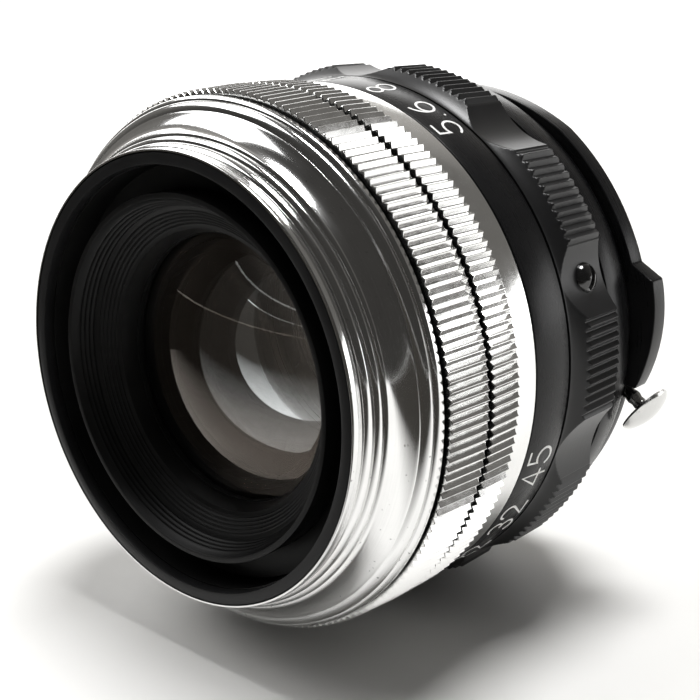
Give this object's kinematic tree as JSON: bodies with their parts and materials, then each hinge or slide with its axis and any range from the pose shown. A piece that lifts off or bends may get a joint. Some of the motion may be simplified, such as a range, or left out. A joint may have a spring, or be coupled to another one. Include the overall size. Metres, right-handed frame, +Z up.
{
  "type": "preset prime camera lens",
  "caption": "Short camera lens with focusing helicoid, stop-down and preset rings, an iris, an infinity lock and a screw mount.",
  "frame": {"origin": "centre of the mount flange's seating face, on the optical axis", "axes": "+Y along the optical axis towards the camera body, so the front glass looks to -Y; +Z up with the lens lying on its side; +X to the right when looking along +Y"},
  "size_m": [0.0559, 0.0453, 0.0538],
  "materials": {
    "chrome": "polished, fine turning marks",
    "knurled_chrome": "knurled, polished tips",
    "black_paint": "black satin",
    "inner_black": "black matt",
    "brass": "turned",
    "steel": "bright",
    "glass": "coated"
  },
  "bodies": {
    "mount": {"mount_flange": "chrome", "guide_sleeve": "brass", "sleeve_retaining_ring": "steel", "guide_key": "steel"},
    "head": {"front_barrel": "chrome", "front_rim_ring": "black_paint", "front_baffle": "black_paint", "front_element": "glass", "second_element": "glass", "third_element": "glass", "fourth_element": "glass", "fifth_element": "glass", "rear_element": "glass", "front_cell": "inner_black", "front_spacer": "inner_black", "rear_cell": "inner_black", "rear_spacer": "inner_black", "rear_retaining_ring": "inner_black", "iris_housing": "inner_black", "head_tube": "brass", "aperture_scale_ring": "black_paint"},
    "focus": {"focus_ring": "black_paint", "focus_clamp_screw_1": "black_paint", "focus_clamp_screw_2": "black_paint", "helicoid_sleeve": "brass", "rear_skirt": "black_paint", "lock_ring": "black_paint", "lock_spring": "steel"},
    "lock_button": {"lock_button": "chrome"},
    "stop_ring": {"stop_down_ring": "knurled_chrome", "iris_pin": "steel", "iris_drive_sleeve": "brass"},
    "preset": {"preset_ring": "knurled_chrome", "preset_ball": "steel", "preset_spring": "steel"},
    "blade_1": {"iris_blade_1": "inner_black"},
    "blade_2": {"iris_blade_2": "inner_black"},
    "blade_3": {"iris_blade_3": "inner_black"},
    "blade_4": {"iris_blade_4": "inner_black"},
    "blade_5": {"iris_blade_5": "inner_black"},
    "blade_6": {"iris_blade_6": "inner_black"},
    "blade_7": {"iris_blade_7": "inner_black"},
    "blade_8": {"iris_blade_8": "inner_black"}
  },
  "joints": [
    {"name": "focus_turn", "type": "hinge", "parent": "mount", "child": "focus", "pos_m": [0, 0, 0], "axis": [0, -1, 0], "range_deg": [0, 170]},
    {"name": "head_slide", "type": "slide", "parent": "mount", "child": "head", "axis": [0, -1, 0], "range_m": [0, 0.0045]},
    {"name": "lock_press", "type": "slide", "parent": "focus", "child": "lock_button", "axis": [-0.7986, 0, 0.6018], "range_m": [0, 0.0005], "stiffness_N_per_m": 400, "springref_m": -0.001},
    {"name": "stop_turn", "type": "hinge", "parent": "head", "child": "stop_ring", "pos_m": [0, 0, 0], "axis": [0, -1, 0], "range_deg": [0, 90]},
    {"name": "preset_turn", "type": "hinge", "parent": "head", "child": "preset", "pos_m": [0, 0, 0], "axis": [0, -1, 0], "range_deg": [0, 90]},
    {"name": "blade_1_swing", "type": "hinge", "parent": "head", "child": "blade_1", "pos_m": [0.0108, -0.02235, 0], "axis": [0, -1, 0], "range_deg": [0, 40.1]},
    {"name": "blade_2_swing", "type": "hinge", "parent": "head", "child": "blade_2", "pos_m": [0.00764, -0.02235, 0.00764], "axis": [0, -1, 0], "range_deg": [0, 40.1]},
    {"name": "blade_3_swing", "type": "hinge", "parent": "head", "child": "blade_3", "pos_m": [0, -0.02235, 0.0108], "axis": [0, -1, 0], "range_deg": [0, 40.1]},
    {"name": "blade_4_swing", "type": "hinge", "parent": "head", "child": "blade_4", "pos_m": [-0.00764, -0.02235, 0.00764], "axis": [0, -1, 0], "range_deg": [0, 40.1]},
    {"name": "blade_5_swing", "type": "hinge", "parent": "head", "child": "blade_5", "pos_m": [-0.0108, -0.02235, 0], "axis": [0, -1, 0], "range_deg": [0, 40.1]},
    {"name": "blade_6_swing", "type": "hinge", "parent": "head", "child": "blade_6", "pos_m": [-0.00764, -0.02235, -0.00764], "axis": [0, -1, 0], "range_deg": [0, 40.1]},
    {"name": "blade_7_swing", "type": "hinge", "parent": "head", "child": "blade_7", "pos_m": [0, -0.02235, -0.0108], "axis": [0, -1, 0], "range_deg": [0, 40.1]},
    {"name": "blade_8_swing", "type": "hinge", "parent": "head", "child": "blade_8", "pos_m": [0.00764, -0.02235, -0.00764], "axis": [0, -1, 0], "range_deg": [0, 40.1]}
  ],
  "couplings": [
    {"joint": "focus_turn", "follows": "head_slide", "rad_per_m": 659.34},
    {"joint": "blade_1_swing", "follows": "stop_turn", "ratio": 0.44444},
    {"joint": "blade_2_swing", "follows": "stop_turn", "ratio": 0.44444},
    {"joint": "blade_3_swing", "follows": "stop_turn", "ratio": 0.44444},
    {"joint": "blade_4_swing", "follows": "stop_turn", "ratio": 0.44444},
    {"joint": "blade_5_swing", "follows": "stop_turn", "ratio": 0.44444},
    {"joint": "blade_6_swing", "follows": "stop_turn", "ratio": 0.44444},
    {"joint": "blade_7_swing", "follows": "stop_turn", "ratio": 0.44444},
    {"joint": "blade_8_swing", "follows": "stop_turn", "ratio": 0.44444}
  ]
}
